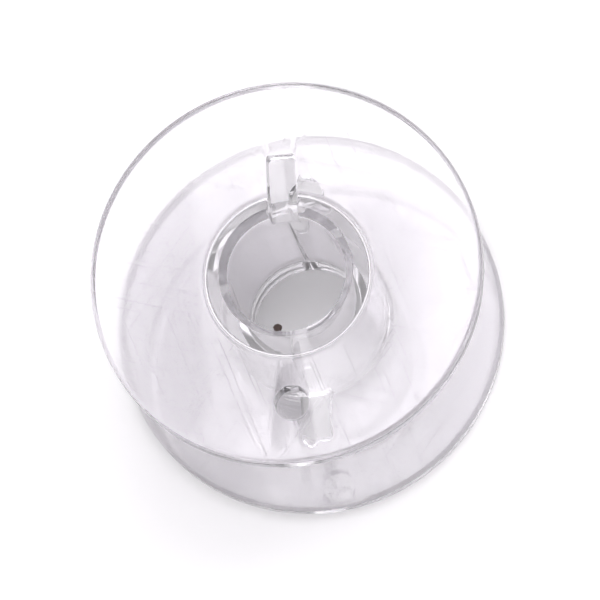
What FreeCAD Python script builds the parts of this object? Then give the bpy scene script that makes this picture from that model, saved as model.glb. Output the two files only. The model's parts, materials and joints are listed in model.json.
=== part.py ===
import FreeCAD, Part
import math
import os
from enum import IntEnum

import Sketcher

# Clear moulded bobbin for a household sewing machine: two round flanges on a hollow hub, all one piece.
# Millimetres, +Z up. It stands on its lower flange, and the origin is the centre of that flange's outer face.
# Each flange has one drive slot, open to the bore, and one thread hole opposite it. The lower flange is the
# upper one turned half a turn about the X axis, so the bobbin goes onto its spindle either way up.

NODE = "bobbin"
PARTS_FOLDER = "parts"

# Driving dimensions, in millimetres and degrees
DIMENSIONS = {
    "overall_height": 11.5,  # over both flange faces
    "flange_diameter": 20.5,
    "flange_thickness": 1.0,  # at the rim
    "flange_draft": 1.0,  # slope of the inner flange faces, in degrees
    "rim_round": 0.25,  # on the outer edge of each rim
    "rim_chamfer": 0.2,  # on the inner edge of each rim, which the thread passes
    "bore_diameter": 6.2,
    "bore_mouth_chamfer": 0.4,  # lead-in at each end of the bore
    "hub_wall": 1.1,  # between the bore and the surface that takes the thread
    "hub_fillet": 0.4,  # where the hub meets a flange
    "slot_width": 1.5,
    "slot_past_hub": 2.1,  # from the hub's surface to the slot's outer end
    "slot_corner_round": 0.2,
    "thread_hole_diameter": 1.8,
    "thread_hole_from_hub": 2.8,  # from the hub's surface to the hole's axis
    "cut_clearance": 0.1,  # how far slot and hole run on below the hub fillet
}

# Largest share of a wall that one rounded or chamfered edge may take, so that two never meet
EDGE_SHARE = 0.45

# Sizes that follow from the driving ones, as expressions on the sheet
HALF_HEIGHT = "sizes.overall_height / 2"
BORE_RADIUS = "sizes.bore_diameter / 2"
HUB_RADIUS = "(sizes.bore_diameter / 2 + sizes.hub_wall)"
FLANGE_RADIUS = "sizes.flange_diameter / 2"
RIM_ROUND = f"min(sizes.rim_round; sizes.flange_thickness * {EDGE_SHARE})"
RIM_CHAMFER = f"min(sizes.rim_chamfer; sizes.flange_thickness * {EDGE_SHARE})"
SLOT_CORNER_ROUND = f"min(sizes.slot_corner_round; sizes.slot_width * {EDGE_SHARE})"
SLOT_REACH = f"{HUB_RADIUS} + sizes.slot_past_hub"
THREAD_HOLE_OFFSET = f"{HUB_RADIUS} + sizes.thread_hole_from_hub"
DRAFT_RISE = f"({FLANGE_RADIUS} - {HUB_RADIUS}) * tan(sizes.flange_draft)"
CUT_DEPTH = f"sizes.flange_thickness + {DRAFT_RISE} + sizes.hub_fillet + sizes.cut_clearance"

QUARTER = math.pi / 2


class SketchAxis(IntEnum):
    """Sketcher's numbers for a sketch's own axes."""

    HORIZONTAL = -1
    VERTICAL = -2


class Spot(IntEnum):
    """Sketcher's numbers for the points of an element."""

    START = 1
    END = 2
    CENTRE = 3


START, END, CENTRE = Spot
ORIGIN = (SketchAxis.HORIZONTAL, START)


def fill_sheet(doc):
    """Keep the driving dimensions in a spreadsheet, one alias each."""
    sheet = doc.addObject("Spreadsheet::Sheet", "sizes")
    for row, (alias, value) in enumerate(DIMENSIONS.items(), start=1):
        sheet.set(f"A{row}", alias.replace("_", " "))
        sheet.set(f"B{row}", str(value))
        sheet.setAlias(f"B{row}", alias)
    doc.recompute()


def origin_feature(body, role):
    """The plane or axis of the body's own origin that has this role."""
    return next(feature for feature in body.Origin.OriginFeatures if feature.Role == role)


def new_sketch(body, name, plane_role):
    """A sketch on one of the body's origin planes."""
    sketch = body.newObject("Sketcher::SketchObject", name)
    sketch.AttachmentSupport = [(origin_feature(body, plane_role), "")]
    sketch.MapMode = "FlatFace"
    return sketch


def line(sketch, start, end):
    """Add a straight line and return its number."""
    segment = Part.LineSegment(FreeCAD.Vector(*start, 0), FreeCAD.Vector(*end, 0))
    return sketch.addGeometry(segment, False)


def quarter_arc(sketch, centre, radius, first_quarter):
    """Add a quarter circle, anticlockwise from the given quarter turn, and return its number."""
    circle = Part.Circle(FreeCAD.Vector(*centre, 0), FreeCAD.Vector(0, 0, 1), radius)
    arc = Part.ArcOfCircle(circle, first_quarter * QUARTER, (first_quarter + 1) * QUARTER)
    return sketch.addGeometry(arc, False)


def tie(sketch, kind, *elements):
    """Add a constraint that has no size."""
    sketch.addConstraint(Sketcher.Constraint(kind, *elements))


def dimension(sketch, name, kind, elements, value, expression):
    """Add a constraint with a size and bind it to the sheet."""
    number = sketch.addConstraint(Sketcher.Constraint(kind, *elements, value))
    sketch.renameConstraint(number, name)
    sketch.setExpression(f"Constraints.{name}", expression)


def draw_section(body):
    """Upper half of the spool's section, to the right of the bore axis."""
    size = DIMENSIONS
    half_height = size["overall_height"] / 2
    bore = size["bore_diameter"] / 2
    hub = bore + size["hub_wall"]
    flange = size["flange_diameter"] / 2
    thickness = size["flange_thickness"]
    mouth = size["bore_mouth_chamfer"]
    rim = min(size["rim_round"], thickness * EDGE_SHARE)
    chamfer = min(size["rim_chamfer"], thickness * EDGE_SHARE)
    fillet = size["hub_fillet"]
    draft = math.radians(size["flange_draft"])
    rim_inner = half_height - thickness
    hub_inner = rim_inner - (flange - hub) * math.tan(draft)

    sketch = new_sketch(body, "spool_section", "XZ_Plane")
    bore_wall = line(sketch, (bore, 0), (bore, half_height - mouth))
    mouth_chamfer = line(sketch, (bore, half_height - mouth), (bore + mouth, half_height))
    outer_face = line(sketch, (bore + mouth, half_height), (flange - rim, half_height))
    rim_arc = quarter_arc(sketch, (flange - rim, half_height - rim), rim, 0)
    rim_wall = line(sketch, (flange, half_height - rim), (flange, rim_inner + chamfer))
    rim_chamfer = line(sketch, (flange, rim_inner + chamfer), (flange - chamfer, rim_inner))
    inner_face = line(sketch, (hub + fillet, hub_inner), (flange - chamfer, rim_inner))
    fillet_arc = quarter_arc(sketch, (hub + fillet, hub_inner - fillet), fillet, 1)
    hub_wall = line(sketch, (hub, hub_inner - fillet), (hub, 0))
    middle = line(sketch, (hub, 0), (bore, 0))
    rim_corner = sketch.addGeometry(Part.Point(FreeCAD.Vector(flange, rim_inner, 0)), True)

    tie(sketch, "Coincident", bore_wall, END, mouth_chamfer, START)
    tie(sketch, "Coincident", mouth_chamfer, END, outer_face, START)
    tie(sketch, "Tangent", outer_face, END, rim_arc, END)
    tie(sketch, "Tangent", rim_arc, START, rim_wall, START)
    tie(sketch, "Coincident", rim_wall, END, rim_chamfer, START)
    tie(sketch, "Coincident", rim_chamfer, END, inner_face, END)
    tie(sketch, "Tangent", inner_face, START, fillet_arc, START)
    tie(sketch, "Tangent", fillet_arc, END, hub_wall, START)
    tie(sketch, "Coincident", hub_wall, END, middle, START)
    tie(sketch, "Coincident", middle, END, bore_wall, START)
    tie(sketch, "Vertical", bore_wall)
    tie(sketch, "Horizontal", outer_face)
    tie(sketch, "Vertical", rim_wall)
    tie(sketch, "Vertical", hub_wall)
    tie(sketch, "PointOnObject", middle, START, SketchAxis.HORIZONTAL)
    tie(sketch, "PointOnObject", middle, END, SketchAxis.HORIZONTAL)
    tie(sketch, "PointOnObject", rim_corner, START, rim_wall)
    tie(sketch, "PointOnObject", rim_corner, START, inner_face)

    dimension(sketch, "bore_radius", "DistanceX", (*ORIGIN, bore_wall, START), bore, BORE_RADIUS)
    dimension(sketch, "hub_radius", "DistanceX", (*ORIGIN, hub_wall, END), hub, HUB_RADIUS)
    dimension(sketch, "flange_radius", "DistanceX", (*ORIGIN, rim_wall, START), flange, FLANGE_RADIUS)
    dimension(sketch, "half_height", "DistanceY", (*ORIGIN, outer_face, START), half_height, HALF_HEIGHT)
    through_rim = (rim_corner, START, outer_face, END)
    dimension(sketch, "rim_thickness", "DistanceY", through_rim, thickness, "sizes.flange_thickness")
    dimension(sketch, "draft", "Angle", (inner_face,), draft, "sizes.flange_draft")
    across_mouth = (mouth_chamfer, START, mouth_chamfer, END)
    dimension(sketch, "mouth_width", "DistanceX", across_mouth, mouth, "sizes.bore_mouth_chamfer")
    dimension(sketch, "mouth_depth", "DistanceY", across_mouth, mouth, "sizes.bore_mouth_chamfer")
    dimension(sketch, "rim_round", "Radius", (rim_arc,), rim, RIM_ROUND)
    along_face = (rim_chamfer, END, rim_corner, START)
    dimension(sketch, "chamfer_along_face", "DistanceX", along_face, chamfer, RIM_CHAMFER)
    along_rim = (rim_corner, START, rim_chamfer, START)
    dimension(sketch, "chamfer_along_rim", "DistanceY", along_rim, chamfer, RIM_CHAMFER)
    dimension(sketch, "hub_fillet", "Radius", (fillet_arc,), fillet, "sizes.hub_fillet")
    return sketch


def revolve_spool(body, section):
    """Turn the half section about the bore axis and mirror it to the lower flange."""
    upper_half = body.newObject("PartDesign::Revolution", "upper_half")
    upper_half.Profile = section
    upper_half.ReferenceAxis = (section, ["V_Axis"])
    upper_half.Angle = 360
    spool = body.newObject("PartDesign::Mirrored", "spool")
    spool.Originals = [upper_half]
    spool.MirrorPlane = (origin_feature(body, "XY_Plane"), [""])
    body.Tip = spool
    return spool


def on_upper_face(sketch):
    """Raise a sketch on the middle plane to the upper flange's outer face."""
    sketch.setExpression("AttachmentOffset.Base.z", HALF_HEIGHT)


def cut_flange(body, name, outline):
    """Cut an outline through the upper flange and no deeper than the hub fillet's foot."""
    cut = body.newObject("PartDesign::Pocket", name)
    cut.Profile = outline
    cut.Type = "Length"
    cut.setExpression("Length", CUT_DEPTH)
    return cut


def draw_slot(body):
    """Outline of the drive slot, from the bore axis out along +Y, with rounded outer corners."""
    size = DIMENSIONS
    half_width = size["slot_width"] / 2
    corner = min(size["slot_corner_round"], size["slot_width"] * EDGE_SHARE)
    reach = size["bore_diameter"] / 2 + size["hub_wall"] + size["slot_past_hub"]

    sketch = new_sketch(body, "slot_outline", "XY_Plane")
    on_upper_face(sketch)
    inner_end = line(sketch, (-half_width, 0), (half_width, 0))
    right_side = line(sketch, (half_width, 0), (half_width, reach - corner))
    right_arc = quarter_arc(sketch, (half_width - corner, reach - corner), corner, 0)
    outer_end = line(sketch, (half_width - corner, reach), (corner - half_width, reach))
    left_arc = quarter_arc(sketch, (corner - half_width, reach - corner), corner, 1)
    left_side = line(sketch, (-half_width, reach - corner), (-half_width, 0))

    tie(sketch, "Coincident", inner_end, END, right_side, START)
    tie(sketch, "Tangent", right_side, END, right_arc, START)
    tie(sketch, "Tangent", right_arc, END, outer_end, START)
    tie(sketch, "Tangent", outer_end, END, left_arc, START)
    tie(sketch, "Tangent", left_arc, END, left_side, START)
    tie(sketch, "Coincident", left_side, END, inner_end, START)
    tie(sketch, "Horizontal", inner_end)
    tie(sketch, "Vertical", right_side)
    tie(sketch, "Vertical", left_side)
    tie(sketch, "Horizontal", outer_end)
    tie(sketch, "Equal", right_arc, left_arc)
    tie(sketch, "Symmetric", inner_end, START, inner_end, END, *ORIGIN)

    across_slot = (inner_end, START, inner_end, END)
    dimension(sketch, "slot_width", "DistanceX", across_slot, 2 * half_width, "sizes.slot_width")
    dimension(sketch, "slot_reach", "DistanceY", (*ORIGIN, outer_end, START), reach, SLOT_REACH)
    dimension(sketch, "corner_round", "Radius", (right_arc,), corner, SLOT_CORNER_ROUND)
    return sketch


def draw_thread_hole(body):
    """Outline of the thread hole, on the other side of the bore from the slot."""
    size = DIMENSIONS
    radius = size["thread_hole_diameter"] / 2
    offset = size["bore_diameter"] / 2 + size["hub_wall"] + size["thread_hole_from_hub"]

    sketch = new_sketch(body, "thread_hole_outline", "XY_Plane")
    on_upper_face(sketch)
    circle = Part.Circle(FreeCAD.Vector(0, -offset, 0), FreeCAD.Vector(0, 0, 1), radius)
    hole = sketch.addGeometry(circle, False)
    tie(sketch, "PointOnObject", hole, CENTRE, SketchAxis.VERTICAL)
    dimension(sketch, "hole_offset", "DistanceY", (hole, CENTRE, *ORIGIN), offset, THREAD_HOLE_OFFSET)
    dimension(sketch, "hole_diameter", "Diameter", (hole,), 2 * radius, "sizes.thread_hole_diameter")
    return sketch


def repeat_on_lower_flange(body, cuts):
    """Turn the upper flange's cuts half a turn about the X axis into the lower flange."""
    both_flanges = body.newObject("PartDesign::PolarPattern", "both_flanges")
    both_flanges.Originals = cuts
    both_flanges.Axis = (origin_feature(body, "X_Axis"), [""])
    both_flanges.Angle = 360
    both_flanges.Occurrences = 2
    body.Tip = both_flanges
    return both_flanges


def build_bobbin(doc):
    """The whole bobbin, modelled about its middle and raised to stand on its lower flange."""
    body = doc.addObject("PartDesign::Body", NODE)
    body.Label = NODE
    spool = revolve_spool(body, draw_section(body))
    doc.recompute()
    slot = cut_flange(body, "drive_slot", draw_slot(body))
    thread_hole = cut_flange(body, "thread_hole", draw_thread_hole(body))
    doc.recompute()
    both_flanges = repeat_on_lower_flange(body, [slot, thread_hole])
    body.setExpression("Placement.Base.z", HALF_HEIGHT)
    doc.recompute()
    check_cuts([spool, slot, thread_hole, both_flanges])
    return body


def check_cuts(steps):
    """Each step must take material away from the one before it."""
    for before, after in zip(steps, steps[1:]):
        if not after.Shape.Volume < before.Shape.Volume:
            raise RuntimeError(f"{after.Name} cuts nothing")


def check_document(doc, sub_parts):
    """Stop before anything is written if an object failed or a shape is unsound."""
    failed = [item.Name for item in doc.Objects if "Invalid" in item.State or "Error" in item.State]
    unsound = [part.Name for part in sub_parts if part.Shape.isNull() or not part.Shape.isValid()]
    if failed or unsound:
        raise RuntimeError(f"failed: {failed}, unsound: {unsound}")


def write_parts(sub_parts):
    """One STEP file for each sub-part, named by its label."""
    os.makedirs(PARTS_FOLDER, exist_ok=True)
    for part in sub_parts:
        part.Shape.exportStep(f"{PARTS_FOLDER}/{part.Label}.step")


def main():
    doc = FreeCAD.newDocument("bobbin_model")
    fill_sheet(doc)
    sub_parts = [build_bobbin(doc)]
    check_document(doc, sub_parts)
    write_parts(sub_parts)


main()
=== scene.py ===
import json
import math

import bmesh
import bpy
from mathutils import Matrix, Vector, noise


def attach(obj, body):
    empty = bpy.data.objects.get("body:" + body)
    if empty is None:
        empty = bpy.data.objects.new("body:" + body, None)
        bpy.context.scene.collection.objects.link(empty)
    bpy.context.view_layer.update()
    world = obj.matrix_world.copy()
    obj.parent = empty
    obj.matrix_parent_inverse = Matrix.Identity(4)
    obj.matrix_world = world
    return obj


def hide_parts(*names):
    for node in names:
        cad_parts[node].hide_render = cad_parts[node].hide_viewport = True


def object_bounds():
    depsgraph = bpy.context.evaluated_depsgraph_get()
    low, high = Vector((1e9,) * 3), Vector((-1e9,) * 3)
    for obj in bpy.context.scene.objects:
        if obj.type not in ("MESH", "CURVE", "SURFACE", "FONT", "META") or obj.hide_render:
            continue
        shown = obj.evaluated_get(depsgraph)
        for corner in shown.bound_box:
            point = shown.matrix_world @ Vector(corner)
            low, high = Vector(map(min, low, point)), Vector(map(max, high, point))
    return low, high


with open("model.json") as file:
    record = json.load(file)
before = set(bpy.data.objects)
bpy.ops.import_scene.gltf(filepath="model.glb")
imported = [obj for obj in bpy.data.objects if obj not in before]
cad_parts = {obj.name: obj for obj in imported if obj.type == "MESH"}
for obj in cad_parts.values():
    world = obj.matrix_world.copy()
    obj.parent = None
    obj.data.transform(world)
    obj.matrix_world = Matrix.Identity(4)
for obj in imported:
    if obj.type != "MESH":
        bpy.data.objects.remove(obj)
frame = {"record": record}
cadLow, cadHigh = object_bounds()
scene = bpy.context.scene
mm = 0.001

mounts = {mount["name"]: mount for mount in frame["record"]["mounts"]}
height = cadHigh.z - cadLow.z
halfHeight = height / 2
flangeRadius = min(cadHigh.x, cadHigh.y, -cadLow.x, -cadLow.y)
boreRadius = mounts["bore"]["dims"]["r_mm"] * mm
holeRadius = mounts["upper_thread_hole"]["dims"]["r_mm"] * mm
holeOffset = abs(mounts["upper_thread_hole"]["pos_m"][1])
print("frame loaded: flange", round(2 * flangeRadius / mm, 2), "mm across,",
      round(height / mm, 2), "mm high")


def addNode(tree, kind, feeds=None, **settings):  # feeds: sockets to link or values to set, by input
    node = tree.nodes.new(kind)
    for name, value in settings.items():
        setattr(node, name, value)
    for name, feed in (feeds or {}).items():
        if isinstance(feed, bpy.types.NodeSocket):
            tree.links.new(feed, node.inputs[name])
        else:
            node.inputs[name].default_value = feed
    return node


def addObject(name, data):
    thing = bpy.data.objects.new(name, data)
    scene.collection.objects.link(thing)
    return thing


def newMaterial(name):
    material = bpy.data.materials.new(name)
    material.use_nodes = True
    tree = material.node_tree
    return material, tree, tree.nodes["Principled BSDF"]


def colourRamp(tree, value, shades, levels=(0, 1)):  # from one shade to another between two levels
    ramp = addNode(tree, "ShaderNodeValToRGB", {"Fac": value})
    for element, level, shade in zip(ramp.color_ramp.elements, levels, shades):
        element.position = level
        element.color = shade
    return ramp.outputs["Color"]


# the moulding, in millimetres and degrees; the frame gives its height, flange, bore and hole sizes
bobbin = {
    "flangeThickness": 1.0,  # at the rim
    "flangeDraft": 1.0,  # slope of the inner faces
    "rimRound": 0.25,  # outer edge of the rim
    "rimChamfer": 0.2,  # inner edge of the rim
    "mouthChamfer": 0.4,
    "hubWall": 1.1,
    "hubFillet": 0.4,
    "edgeRound": 0.07,  # polished-over edges of the chamfers
    "slotWidth": 1.5,
    "slotReach": 6.3,  # from the bore axis
    "slotCorner": 0.2,
    "cutDepth": 1.606,  # of slot and hole, from the outer face
    "cutMouthRound": 0.07,  # outer edge of slot and hole
    "cutRollTurn": 75,  # stops short of flush, so that the cutter still crosses the face
    "witnessWidth": 0.1,  # raised line where the two mould slides met
    "witnessHeight": 0.015,
    "turnSegments": 320,
    "holeSegments": 64,
    "arcSegments": 8,
    "mergeDistance": 0.0002,  # points closer than this become one
    "sharpTurn": 30,  # edges that turn more than this stay crisp
    "faceWeight": 100,  # how far large faces rule the shading of the edges beside them
}
witnessHeight = bobbin["witnessHeight"] * mm
hubRadius = boreRadius + bobbin["hubWall"] * mm
midWall = (boreRadius + hubRadius) / 2


def windingProfile(proud):  # rim edge to hub on the thread side, as radius, height and corner rounding
    slope = math.tan(math.radians(bobbin["flangeDraft"]))
    chamfer = bobbin["rimChamfer"] * mm
    edge = bobbin["edgeRound"] * mm
    rim = flangeRadius - witnessHeight + proud
    hub = hubRadius + proud
    rimInner = halfHeight - bobbin["flangeThickness"] * mm - proud
    hubInner = rimInner - (rim - hub) * slope
    return [
        (rim, rimInner + chamfer, edge),
        (rim - chamfer, rimInner - chamfer * slope, edge),
        (hub, hubInner, bobbin["hubFillet"] * mm),
    ]


def mirrored(upper):  # section on both sides of mid-height
    return upper + [(radius, -z, rounding) for radius, z, rounding in reversed(upper)]


def mouldingSection():
    mouth = bobbin["mouthChamfer"] * mm
    edge = bobbin["edgeRound"] * mm
    outerFace = [
        (boreRadius, halfHeight - mouth, edge),
        (boreRadius + mouth, halfHeight, edge),
        (flangeRadius - witnessHeight, halfHeight, bobbin["rimRound"] * mm),
    ]
    return mirrored(outerFace + windingProfile(0))


def sectionOutline(name, corners):  # closed outline, measured outwards from the middle of the hub wall
    mesh = bpy.data.meshes.new(name)
    count = len(corners)
    edges = [(index, (index + 1) % count) for index in range(count)]
    mesh.from_pydata([(radius - midWall, z, 0) for radius, z, rounding in corners], edges, [])
    cornerRound = mesh.attributes.new("cornerRound", "FLOAT", "POINT")
    cornerRound.data.foreach_set("value", [rounding for radius, z, rounding in corners])
    return addObject(name, mesh)


def ringSolid(name, rings):  # closed solid through rings of equal point counts
    shape = bmesh.new()
    loops = [[shape.verts.new(point) for point in ring] for ring in rings]
    for low, high in zip(loops, loops[1:]):
        for index in range(len(low)):
            after = (index + 1) % len(low)
            shape.faces.new((low[index], low[after], high[after], high[index]))
    shape.faces.new(reversed(loops[0]))
    shape.faces.new(loops[-1])
    bmesh.ops.recalc_face_normals(shape, faces=shape.faces)
    mesh = bpy.data.meshes.new(name)
    shape.to_mesh(mesh)
    shape.free()
    return addObject(name, mesh)


def arcPoints(centre, radius, start, end, count):
    turns = [start + (end - start) * index / count for index in range(count + 1)]
    return [(centre[0] + radius * math.cos(turn), centre[1] + radius * math.sin(turn)) for turn in turns]


def slotOutline(grown):  # plan of the upper drive slot, along +Y from the bore axis
    half = bobbin["slotWidth"] * mm / 2 + grown
    reach = bobbin["slotReach"] * mm + grown
    corner = bobbin["slotCorner"] * mm + grown
    steps = bobbin["arcSegments"]
    right = arcPoints((half - corner, reach - corner), corner, 0, math.pi / 2, steps)
    left = arcPoints((corner - half, reach - corner), corner, math.pi / 2, math.pi, steps)
    return [(-half, 0), (half, 0)] + right + left


def holeOutline(grown):  # plan of the upper thread hole, opposite the slot
    circle = arcPoints((0, -holeOffset), holeRadius + grown, 0, math.tau, bobbin["holeSegments"])
    return circle[:-1]


def flaredCutter(name, outline):  # a straight cut whose outer mouth is rolled over
    roll = bobbin["cutMouthRound"] * mm
    steps = bobbin["arcSegments"]
    lastTurn = math.radians(bobbin["cutRollTurn"])
    levels = [(0, halfHeight - bobbin["cutDepth"] * mm)]
    for index in range(steps + 1):
        turn = lastTurn * index / steps
        levels.append((roll * (1 - math.cos(turn)), halfHeight - roll * (1 - math.sin(turn))))
    grown, z = levels[-1]
    levels.append((grown + roll, z + roll / math.tan(lastTurn)))
    return ringSolid(name, [[(x, y, z) for x, y in outline(grown)] for grown, z in levels])


def witnessPlate(name):  # thin plate in the slides' parting plane, on the slot's side of the bore
    top = halfHeight - bobbin["rimRound"] * mm
    half = bobbin["witnessWidth"] * mm / 2
    upper = [(midWall, top, 0), (flangeRadius, top, 0)] + windingProfile(witnessHeight)
    corners = mirrored(upper)
    return ringSolid(name, [[(x, radius, z) for radius, z, rounding in corners] for x in (-half, half)])


section = sectionOutline("section", mouldingSection())
slotCutter = flaredCutter("slotCutter", slotOutline)
holeCutter = flaredCutter("holeCutter", holeOutline)
witness = witnessPlate("witness")
print("section, cutters and parting line drawn")


def forEachFlange(tree, geometry):  # as it is for the upper flange, and turned half a turn about X
    ends = addNode(tree, "GeometryNodeMeshLine", {"Count": 2, "Offset": (0, 0, 0)})
    number = addNode(tree, "GeometryNodeInputIndex")
    halfTurn = addNode(tree, "ShaderNodeVectorMath", {0: number.outputs["Index"], 1: (math.pi, 0, 0)},
                       operation="MULTIPLY")
    single = addNode(tree, "GeometryNodeGeometryToInstance", {"Geometry": geometry})
    both = addNode(tree, "GeometryNodeInstanceOnPoints", {
        "Points": ends.outputs["Mesh"],
        "Instance": single.outputs["Instances"],
        "Rotation": halfTurn.outputs["Vector"],
    })
    real = addNode(tree, "GeometryNodeRealizeInstances", {"Geometry": both.outputs["Instances"]})
    return real.outputs["Geometry"]


def lathedMoulding():  # turns the section, adds the parting line, cuts slot and hole in both flanges
    tree = bpy.data.node_groups.new("lathedMoulding", "GeometryNodeTree")
    tree.interface.new_socket(name="Geometry", in_out="OUTPUT", socket_type="NodeSocketGeometry")
    for name, kind in {
        "Section": "Geometry", "Wall Radius": "Float", "Half Height": "Float",
        "Turn Segments": "Int", "Arc Segments": "Int",
        "Slot": "Object", "Hole": "Object", "Witness": "Object", "Finish": "Material",
    }.items():
        tree.interface.new_socket(name=name, in_out="INPUT", socket_type="NodeSocket" + kind)
    given = addNode(tree, "NodeGroupInput").outputs

    spline = addNode(tree, "GeometryNodeMeshToCurve", {"Mesh": given["Section"]})
    rounding = addNode(tree, "GeometryNodeInputNamedAttribute", {"Name": "cornerRound"}, data_type="FLOAT")
    rounded = addNode(tree, "GeometryNodeFilletCurve", {
        "Curve": spline.outputs["Curve"],
        "Radius": rounding.outputs["Attribute"],
        "Count": given["Arc Segments"],
        "Limit Radius": True,
    }, mode="POLY")
    turn = addNode(tree, "GeometryNodeCurvePrimitiveCircle", {
        "Resolution": given["Turn Segments"],
        "Radius": given["Wall Radius"],
    })
    lathe = addNode(tree, "GeometryNodeCurveToMesh", {
        "Curve": turn.outputs["Curve"],
        "Profile Curve": rounded.outputs["Curve"],
    })
    outward = addNode(tree, "GeometryNodeFlipFaces", {"Mesh": lathe.outputs["Mesh"]})

    plate = addNode(tree, "GeometryNodeObjectInfo", {"Object": given["Witness"]})
    lined = addNode(tree, "GeometryNodeMeshBoolean", operation="UNION", solver="EXACT")
    tree.links.new(outward.outputs["Mesh"], lined.inputs["Mesh 2"])
    tree.links.new(forEachFlange(tree, plate.outputs["Geometry"]), lined.inputs["Mesh 2"])

    cutters = addNode(tree, "GeometryNodeJoinGeometry")
    for name in ("Slot", "Hole"):
        cutter = addNode(tree, "GeometryNodeObjectInfo", {"Object": given[name]})
        tree.links.new(cutter.outputs["Geometry"], cutters.inputs["Geometry"])
    cut = addNode(tree, "GeometryNodeMeshBoolean", {
        "Mesh 1": lined.outputs["Mesh"],
        "Mesh 2": forEachFlange(tree, cutters.outputs["Geometry"]),
    }, operation="DIFFERENCE", solver="EXACT")

    lift = addNode(tree, "ShaderNodeCombineXYZ", {"Z": given["Half Height"]})
    standing = addNode(tree, "GeometryNodeTransform", {
        "Geometry": cut.outputs["Mesh"],
        "Translation": lift.outputs["Vector"],
    })
    real = addNode(tree, "GeometryNodeRealizeInstances", {"Geometry": standing.outputs["Geometry"]})
    finished = addNode(tree, "GeometryNodeSetMaterial", {
        "Geometry": real.outputs["Geometry"],
        "Material": given["Finish"],
    })
    addNode(tree, "NodeGroupOutput", {"Geometry": finished.outputs["Geometry"]})
    return tree


# clear polished plastic; lengths in millimetres
plastic = {
    "clearTint": (0.968, 0.959, 0.974, 1),
    "cloudTint": (0.945, 0.933, 0.953, 1),  # faint flow clouds in the moulding
    "cloudSize": 6.0,
    "cloudDetail": 3,  # finer layers of noise in the clouds
    "cloudRange": (0.35, 0.7),  # noise levels from all clear to all cloud
    "ior": 1.58,
    "absorbColour": (0.80, 0.77, 0.83, 1),
    "absorbDensity": 15,  # per metre
    "polish": 0.03,  # roughness where clean
    "scuff": 0.22,  # roughness of scratches and the worn rim
    "scuffBand": 0.7,  # width of the worn rim
    "scuffSize": 0.7,  # patches of wear along it
    "scuffDetail": 6,
    "scuffGrit": 0.7,  # strength of the finer layers
    "waveSize": 2.6,  # unevenness of the moulded faces
    "waveDepth": 0.002,
    "waveDetail": 1,
    "scratchLength": 7.0,
    "scratchWidth": 0.07,
    "scratchDepth": 0.001,
    "scratchDetail": 0,  # smooth streaks
    "scratchTurns": (17, 71, 128),  # directions, in degrees
    "scratchRange": (0.74, 0.79),  # noise levels from none to full; higher is rarer
}


def scratchLayer(tree, place, turn):  # rare long streaks in one direction
    across, along = 1 / plastic["scratchWidth"], 1 / plastic["scratchLength"]
    streaks = addNode(tree, "ShaderNodeMapping", {
        "Vector": place,
        "Location": (turn, 0, 0),
        "Rotation": (0, 0, math.radians(turn)),
    })
    stretched = addNode(tree, "ShaderNodeVectorMath", {
        0: streaks.outputs["Vector"],
        1: (along, across, along),
    }, operation="MULTIPLY")
    grain = addNode(tree, "ShaderNodeTexNoise", {
        "Vector": stretched.outputs["Vector"],
        "Scale": 1,
        "Detail": plastic["scratchDetail"],
    })
    none, full = plastic["scratchRange"]
    rare = addNode(tree, "ShaderNodeMapRange", {
        "Value": grain.outputs["Fac"],
        "From Min": none,
        "From Max": full,
    })
    return rare.outputs["Result"]


def larger(tree, first, second):
    return addNode(tree, "ShaderNodeMath", {0: first, 1: second}, operation="MAXIMUM").outputs["Value"]


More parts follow.
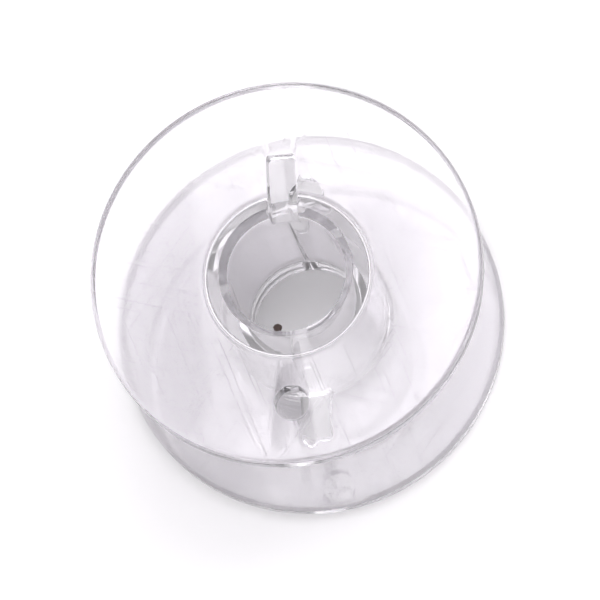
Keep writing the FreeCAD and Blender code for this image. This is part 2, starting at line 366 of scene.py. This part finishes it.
def clearPlastic():
    material, tree, shader = newMaterial("clearPlastic")
    shader.inputs["Transmission Weight"].default_value = 1
    shader.inputs["IOR"].default_value = plastic["ior"]
    coordinates = addNode(tree, "ShaderNodeTexCoord")
    place = addNode(tree, "ShaderNodeVectorMath", {0: coordinates.outputs["Object"], "Scale": 1 / mm},
                    operation="SCALE").outputs["Vector"]

    clouds = addNode(tree, "ShaderNodeTexNoise", {
        "Vector": place,
        "Scale": 1 / plastic["cloudSize"],
        "Detail": plastic["cloudDetail"],
    })
    shades = (plastic["clearTint"], plastic["cloudTint"])
    tint = colourRamp(tree, clouds.outputs["Fac"], shades, plastic["cloudRange"])
    tree.links.new(tint, shader.inputs["Base Color"])

    flat = addNode(tree, "ShaderNodeVectorMath", {0: place, 1: (1, 1, 0)}, operation="MULTIPLY")
    radius = addNode(tree, "ShaderNodeVectorMath", {0: flat.outputs["Vector"]}, operation="LENGTH")
    rimEdge = flangeRadius / mm
    rim = addNode(tree, "ShaderNodeMapRange", {
        "Value": radius.outputs["Value"],
        "From Min": rimEdge - plastic["scuffBand"],
        "From Max": rimEdge,
    }, interpolation_type="SMOOTHSTEP")
    rubbed = addNode(tree, "ShaderNodeTexNoise", {
        "Vector": place,
        "Scale": 1 / plastic["scuffSize"],
        "Detail": plastic["scuffDetail"],
        "Roughness": plastic["scuffGrit"],
    })
    worn = addNode(tree, "ShaderNodeMath", {0: rim.outputs["Result"], 1: rubbed.outputs["Fac"]},
                   operation="MULTIPLY")
    scratches = scratchLayer(tree, place, plastic["scratchTurns"][0])
    for turn in plastic["scratchTurns"][1:]:
        scratches = larger(tree, scratches, scratchLayer(tree, place, turn))
    hubEdge = hubRadius / mm + bobbin["hubFillet"]
    flanges = addNode(tree, "ShaderNodeMapRange", {
        "Value": radius.outputs["Value"],
        "From Min": hubEdge,
        "From Max": hubEdge + bobbin["hubFillet"],
    })
    scored = addNode(tree, "ShaderNodeMath", {0: scratches, 1: flanges.outputs["Result"]},
                     operation="MULTIPLY").outputs["Value"]
    wear = larger(tree, scored, worn.outputs["Value"])
    gloss = addNode(tree, "ShaderNodeMapRange", {
        "Value": wear,
        "To Min": plastic["polish"],
        "To Max": plastic["scuff"],
    })
    tree.links.new(gloss.outputs["Result"], shader.inputs["Roughness"])

    waves = addNode(tree, "ShaderNodeTexNoise", {
        "Vector": place,
        "Scale": 1 / plastic["waveSize"],
        "Detail": plastic["waveDetail"],
    })
    uneven = addNode(tree, "ShaderNodeBump", {
        "Height": waves.outputs["Fac"],
        "Distance": plastic["waveDepth"] * mm,
    })
    grooves = addNode(tree, "ShaderNodeBump", {
        "Height": scored,
        "Distance": plastic["scratchDepth"] * mm,
        "Normal": uneven.outputs["Normal"],
    }, invert=True)
    tree.links.new(grooves.outputs["Normal"], shader.inputs["Normal"])

    body = addNode(tree, "ShaderNodeVolumeAbsorption", {
        "Color": plastic["absorbColour"],
        "Density": plastic["absorbDensity"],
    })
    tree.links.new(body.outputs["Volume"], tree.nodes["Material Output"].inputs["Volume"])
    return material


lathe = section.modifiers.new("lathe", "NODES")
lathe.node_group = lathedMoulding()
given = {
    "Wall Radius": midWall,
    "Half Height": halfHeight,
    "Turn Segments": bobbin["turnSegments"],
    "Arc Segments": bobbin["arcSegments"],
    "Slot": slotCutter,
    "Hole": holeCutter,
    "Witness": witness,
    "Finish": clearPlastic(),
}
for socket in lathe.node_group.interface.items_tree:
    if socket.in_out == "INPUT" and socket.name in given:
        lathe[socket.identifier] = given[socket.name]


def evaluatedMesh(thing):
    depsgraph = bpy.context.evaluated_depsgraph_get()
    return bpy.data.meshes.new_from_object(thing.evaluated_get(depsgraph))


moulding = addObject("bobbin_moulding", evaluatedMesh(section))
for helper in (section, slotCutter, holeCutter, witness):
    bpy.data.objects.remove(helper)

shape = bmesh.new()
shape.from_mesh(moulding.data)
bmesh.ops.remove_doubles(shape, verts=shape.verts, dist=bobbin["mergeDistance"] * mm)
bmesh.ops.recalc_face_normals(shape, faces=shape.faces)
openEdges = sum(1 for edge in shape.edges if len(edge.link_faces) != 2)
print("moulding:", len(shape.faces), "faces,", openEdges, "open edges,",
      round(shape.calc_volume() / mm ** 3, 1), "cubic mm")
shape.to_mesh(moulding.data)
shape.free()
moulding.data.shade_smooth()
moulding.data.set_sharp_from_angle(angle=math.radians(bobbin["sharpTurn"]))
evenFaces = moulding.modifiers.new("evenFaces", "WEIGHTED_NORMAL")  # keeps the flat faces optically flat
evenFaces.weight = bobbin["faceWeight"]
evenFaces.keep_sharp = True
moulding.data = evaluatedMesh(moulding)
moulding.modifiers.remove(evenFaces)

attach(moulding, "root")
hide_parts("bobbin")

# a dark crumb of dirt on the edge of the upper bore mouth; millimetres and degrees
crumb = {
    "across": 0.46,
    "flatness": 0.7,
    "lumpSize": 0.25,
    "lumpDepth": 0.12,  # share of the width
    "turn": -101,  # about the bore axis, from +X
    "inset": 0.14,  # middle of the crumb, inwards from the bore wall
    "sink": 0.32,  # and down from the flange face
    "colours": ((0.02, 0.014, 0.012, 1), (0.09, 0.06, 0.05, 1)),
    "roughness": 0.85,
    "subdivisions": 4,
}


def dirtCrumb():
    turn = math.radians(crumb["turn"])
    outward = Vector((math.cos(turn), math.sin(turn), 0))
    away = (Vector((0, 0, 1)) - outward).normalized()  # square to the chamfer
    seat = outward * (boreRadius - crumb["inset"] * mm) + Vector((0, 0, height - crumb["sink"] * mm))
    shape = bmesh.new()
    bmesh.ops.create_icosphere(shape, subdivisions=crumb["subdivisions"], radius=1)
    for vert in shape.verts:
        ray = vert.co.normalized()
        lump = noise.noise(ray * crumb["across"] / crumb["lumpSize"], noise_basis="PERLIN_ORIGINAL")
        point = ray * (1 + 2 * crumb["lumpDepth"] * lump)
        point -= away * point.dot(away) * (1 - crumb["flatness"])
        vert.co = seat + point * crumb["across"] * mm / 2
    mesh = bpy.data.meshes.new("dirt_crumb")
    shape.to_mesh(mesh)
    shape.free()
    mesh.shade_smooth()
    return addObject("dirt_crumb", mesh)


def dirt():
    material, tree, shader = newMaterial("dirt")
    shader.inputs["Roughness"].default_value = crumb["roughness"]
    coordinates = addNode(tree, "ShaderNodeTexCoord")
    grains = addNode(tree, "ShaderNodeTexNoise", {
        "Vector": coordinates.outputs["Object"],
        "Scale": 1 / (crumb["lumpSize"] * mm),
    })
    colour = colourRamp(tree, grains.outputs["Fac"], crumb["colours"])
    tree.links.new(colour, shader.inputs["Base Color"])
    return material


speck = dirtCrumb()
speck.data.materials.append(dirt())
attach(speck, "root")
print("dirt crumb set on the bore mouth")

# pale ground, in metres
ground = {
    "across": 4.0,
    "drop": 0.02 * mm,  # a hair of air under the moulding, so that light gets beneath it
    "colour": (0.95, 0.95, 0.95, 1),
    "roughness": 0.6,
}


def paleGround():
    reach = ground["across"] / 2
    corners = [(x * reach, y * reach, -ground["drop"]) for x, y in ((-1, -1), (1, -1), (1, 1), (-1, 1))]
    mesh = bpy.data.meshes.new("ground")
    mesh.from_pydata(corners, [], [(0, 1, 2, 3)])
    material, tree, shader = newMaterial("paleGround")
    shader.inputs["Base Color"].default_value = ground["colour"]
    shader.inputs["Roughness"].default_value = ground["roughness"]
    mesh.materials.append(material)
    return mesh


groundMesh = paleGround()
addObject("ground", groundMesh)

# soft light, in metres and watts
light = {
    "horizon": (0.08, 0.078, 0.081, 1),
    "zenith": (0.99, 0.97, 0.997, 1),
    "lampColour": (0.993, 0.974, 1),
    "softboxPower": 3.7,
    "softboxSize": (0.8, 0.48),
    "softboxPlace": (0.315, 0.32, 0.6),  # level, above and behind to the right
    "fillPower": 2.1,
    "fillSize": (0.5, 0.3),
    "fillPlace": (-0.1, -0.55, 0.3),  # low in front, turned to the moulding
    "pathDepth": 24,  # clear plastic hands light on many times
    "mirrorDepth": 10,
}


def studioWorld():
    world = bpy.data.worlds.new("studio")
    world.use_nodes = True
    tree = world.node_tree
    coordinates = addNode(tree, "ShaderNodeTexCoord")
    upward = addNode(tree, "ShaderNodeSeparateXYZ", {"Vector": coordinates.outputs["Generated"]})
    sky = colourRamp(tree, upward.outputs["Z"], (light["horizon"], light["zenith"]))
    tree.links.new(sky, tree.nodes["Background"].inputs["Color"])
    return world


def softLamp(name):
    lamp = bpy.data.lights.new(name, "AREA")
    lamp.energy = light[name + "Power"]
    lamp.color = light["lampColour"]
    lamp.shape = "RECTANGLE"
    lamp.size, lamp.size_y = light[name + "Size"]
    thing = addObject(name, lamp)
    thing.location = light[name + "Place"]
    return thing


scene.world = studioWorld()
softLamp("softbox")
fill = softLamp("fill")
fill.rotation_euler = fill.location.to_track_quat("Z", "Y").to_euler()
scene.view_settings.view_transform = "Standard"
scene.cycles.max_bounces = light["pathDepth"]
scene.cycles.transmission_bounces = light["pathDepth"]
scene.cycles.glossy_bounces = light["mirrorDepth"]

# viewpoint, in metres and degrees
viewpoint = {
    "azimuth": 23,
    "elevation": 73,
    "roll": -26.6,
    "distance": 0.32,
    "lens": 366,
    "sensor": 36,
    "clipStart": 0.01,
}


def photoCamera():
    camera = bpy.data.cameras.new("camera")
    camera.lens = viewpoint["lens"]
    camera.sensor_width = viewpoint["sensor"]
    camera.clip_start = viewpoint["clipStart"]
    azimuth, elevation = math.radians(viewpoint["azimuth"]), math.radians(viewpoint["elevation"])
    level = Vector((math.sin(azimuth), -math.cos(azimuth), 0)) * math.cos(elevation)
    back = level + Vector((0, 0, math.sin(elevation)))
    place = Matrix.Translation(Vector((0, 0, halfHeight)) + back * viewpoint["distance"])
    aim = back.to_track_quat("Z", "Y").to_matrix().to_4x4()
    thing = addObject("camera", camera)
    thing.matrix_world = place @ aim @ Matrix.Rotation(math.radians(viewpoint["roll"]), 4, "Z")
    return thing


scene.camera = photoCamera()
print("ground, light and camera set")
